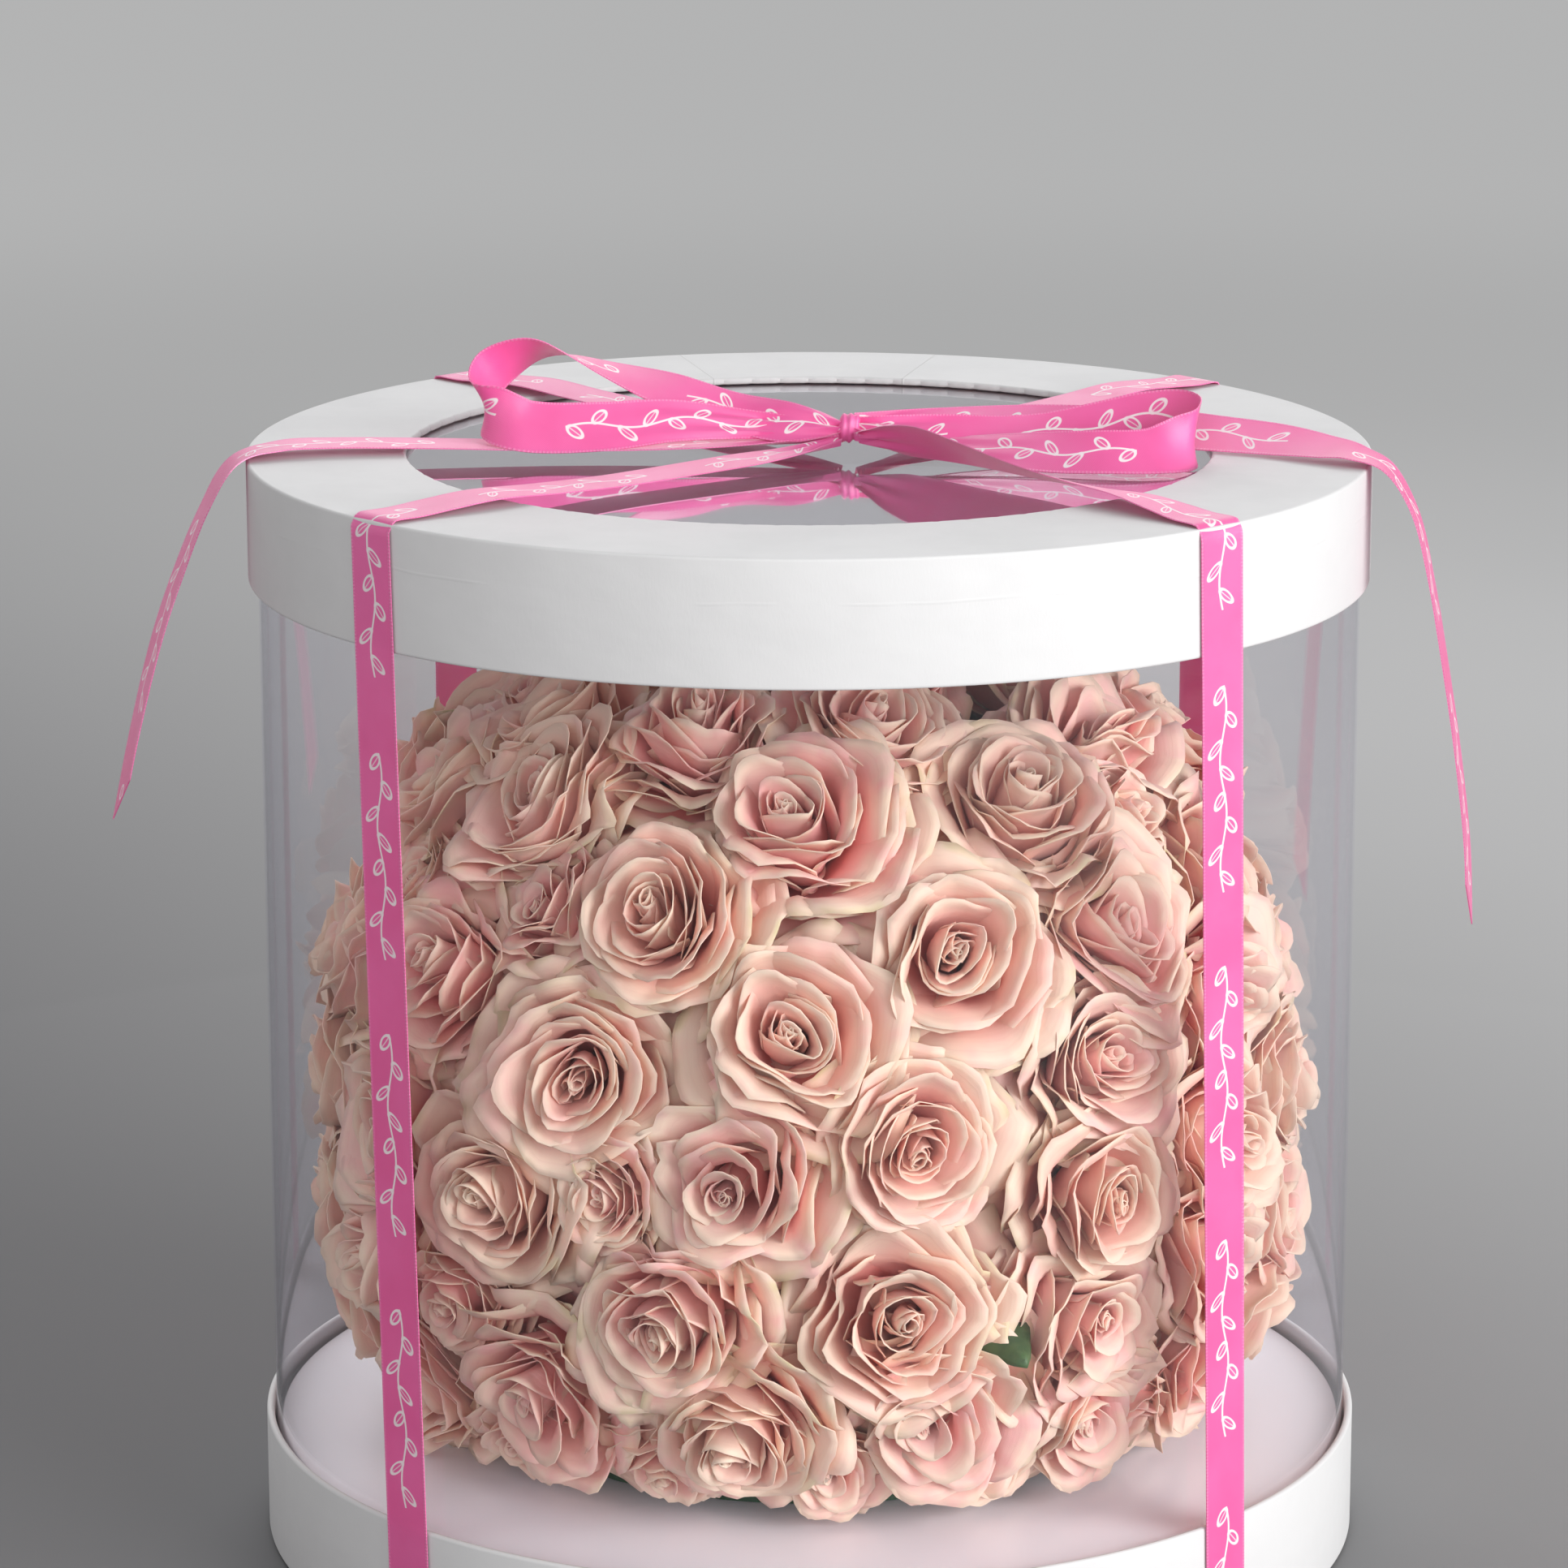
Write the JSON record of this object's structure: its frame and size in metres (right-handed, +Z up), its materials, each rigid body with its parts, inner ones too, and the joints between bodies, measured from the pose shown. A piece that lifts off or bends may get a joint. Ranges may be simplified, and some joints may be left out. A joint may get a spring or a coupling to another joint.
{
  "type": "flower box",
  "caption": "Round presentation box with a clear sleeve, windowed lift-off lid and tied ribbon bow, holding a ball-shaped rose arrangement in wet foam.",
  "frame": {"origin": "middle of the underside, on the crossed ribbon runs that the box rests on", "axes": "+Z up through the bow, -Y towards the front that faces the viewer, +X to the viewer's right"},
  "size_m": [0.3602, 0.3, 0.3295],
  "materials": {
    "board": "matte white paper wrap over cardboard, small rounded edges",
    "platform": "smooth satin white-grey board",
    "film": "clear plastic sheet, glossy, faint lilac tint",
    "petal": "soft blush rose petals with cream edges",
    "foam": "open-cell green floral foam",
    "tray": "dark green moulded plastic",
    "ribbon": "pink single-face satin with woven edges and a small white sprig print"
  },
  "bodies": {
    "base": {"base_floor": "board", "base_wall": "board", "platform_collar": "board", "platform": "platform", "ribbon_under_cross": "ribbon"},
    "arrangement": {"foam_tray": "tray", "wet_foam": "foam", "roses_tier_1": "petal", "roses_tier_2": "petal", "roses_tier_3": "petal", "roses_tier_4": "petal", "roses_tier_5": "petal", "roses_tier_6": "petal", "roses_tier_7": "petal", "roses_crown": "petal"},
    "sleeve": {"clear_sleeve": "film"},
    "lid": {"lid_top": "board", "lid_skirt": "board", "lid_window": "film", "window_backing_ring": "board"},
    "ribbon": {"ribbon_front_left": "ribbon", "ribbon_front_right": "ribbon", "ribbon_back_left": "ribbon", "ribbon_back_right": "ribbon", "bow_knot": "ribbon", "bow_loop_left": "ribbon", "bow_loop_right": "ribbon", "tail_left_lying": "ribbon", "tail_right_lying": "ribbon"},
    "tail_left": {"tail_left_hanging": "ribbon"},
    "tail_right": {"tail_right_hanging": "ribbon"}
  },
  "joints": [
    {"name": "arrangement_lift", "type": "slide", "parent": "base", "child": "arrangement", "axis": [0, 0, 1], "range_m": [0, 0.06]},
    {"name": "sleeve_lift", "type": "slide", "parent": "arrangement", "child": "sleeve", "axis": [0, 0, 1], "range_m": [0, 0.29]},
    {"name": "lid_lift", "type": "slide", "parent": "sleeve", "child": "lid", "axis": [0, 0, 1], "range_m": [0, 0.1]},
    {"name": "ribbon_lift", "type": "slide", "parent": "lid", "child": "ribbon", "axis": [0, 0, 1], "range_m": [0, 0.38]},
    {"name": "tail_left_swing", "type": "hinge", "parent": "ribbon", "child": "tail_left", "pos_m": [-0.141, -0.012, 0.3022], "axis": [-0.3946, 0.9183, -0.0301], "range_deg": [-4, 60]},
    {"name": "tail_right_swing", "type": "hinge", "parent": "ribbon", "child": "tail_right", "pos_m": [0.144, -0.026, 0.3026], "axis": [-0.5345, -0.8451, -0.0093], "range_deg": [-4, 60]}
  ]
}
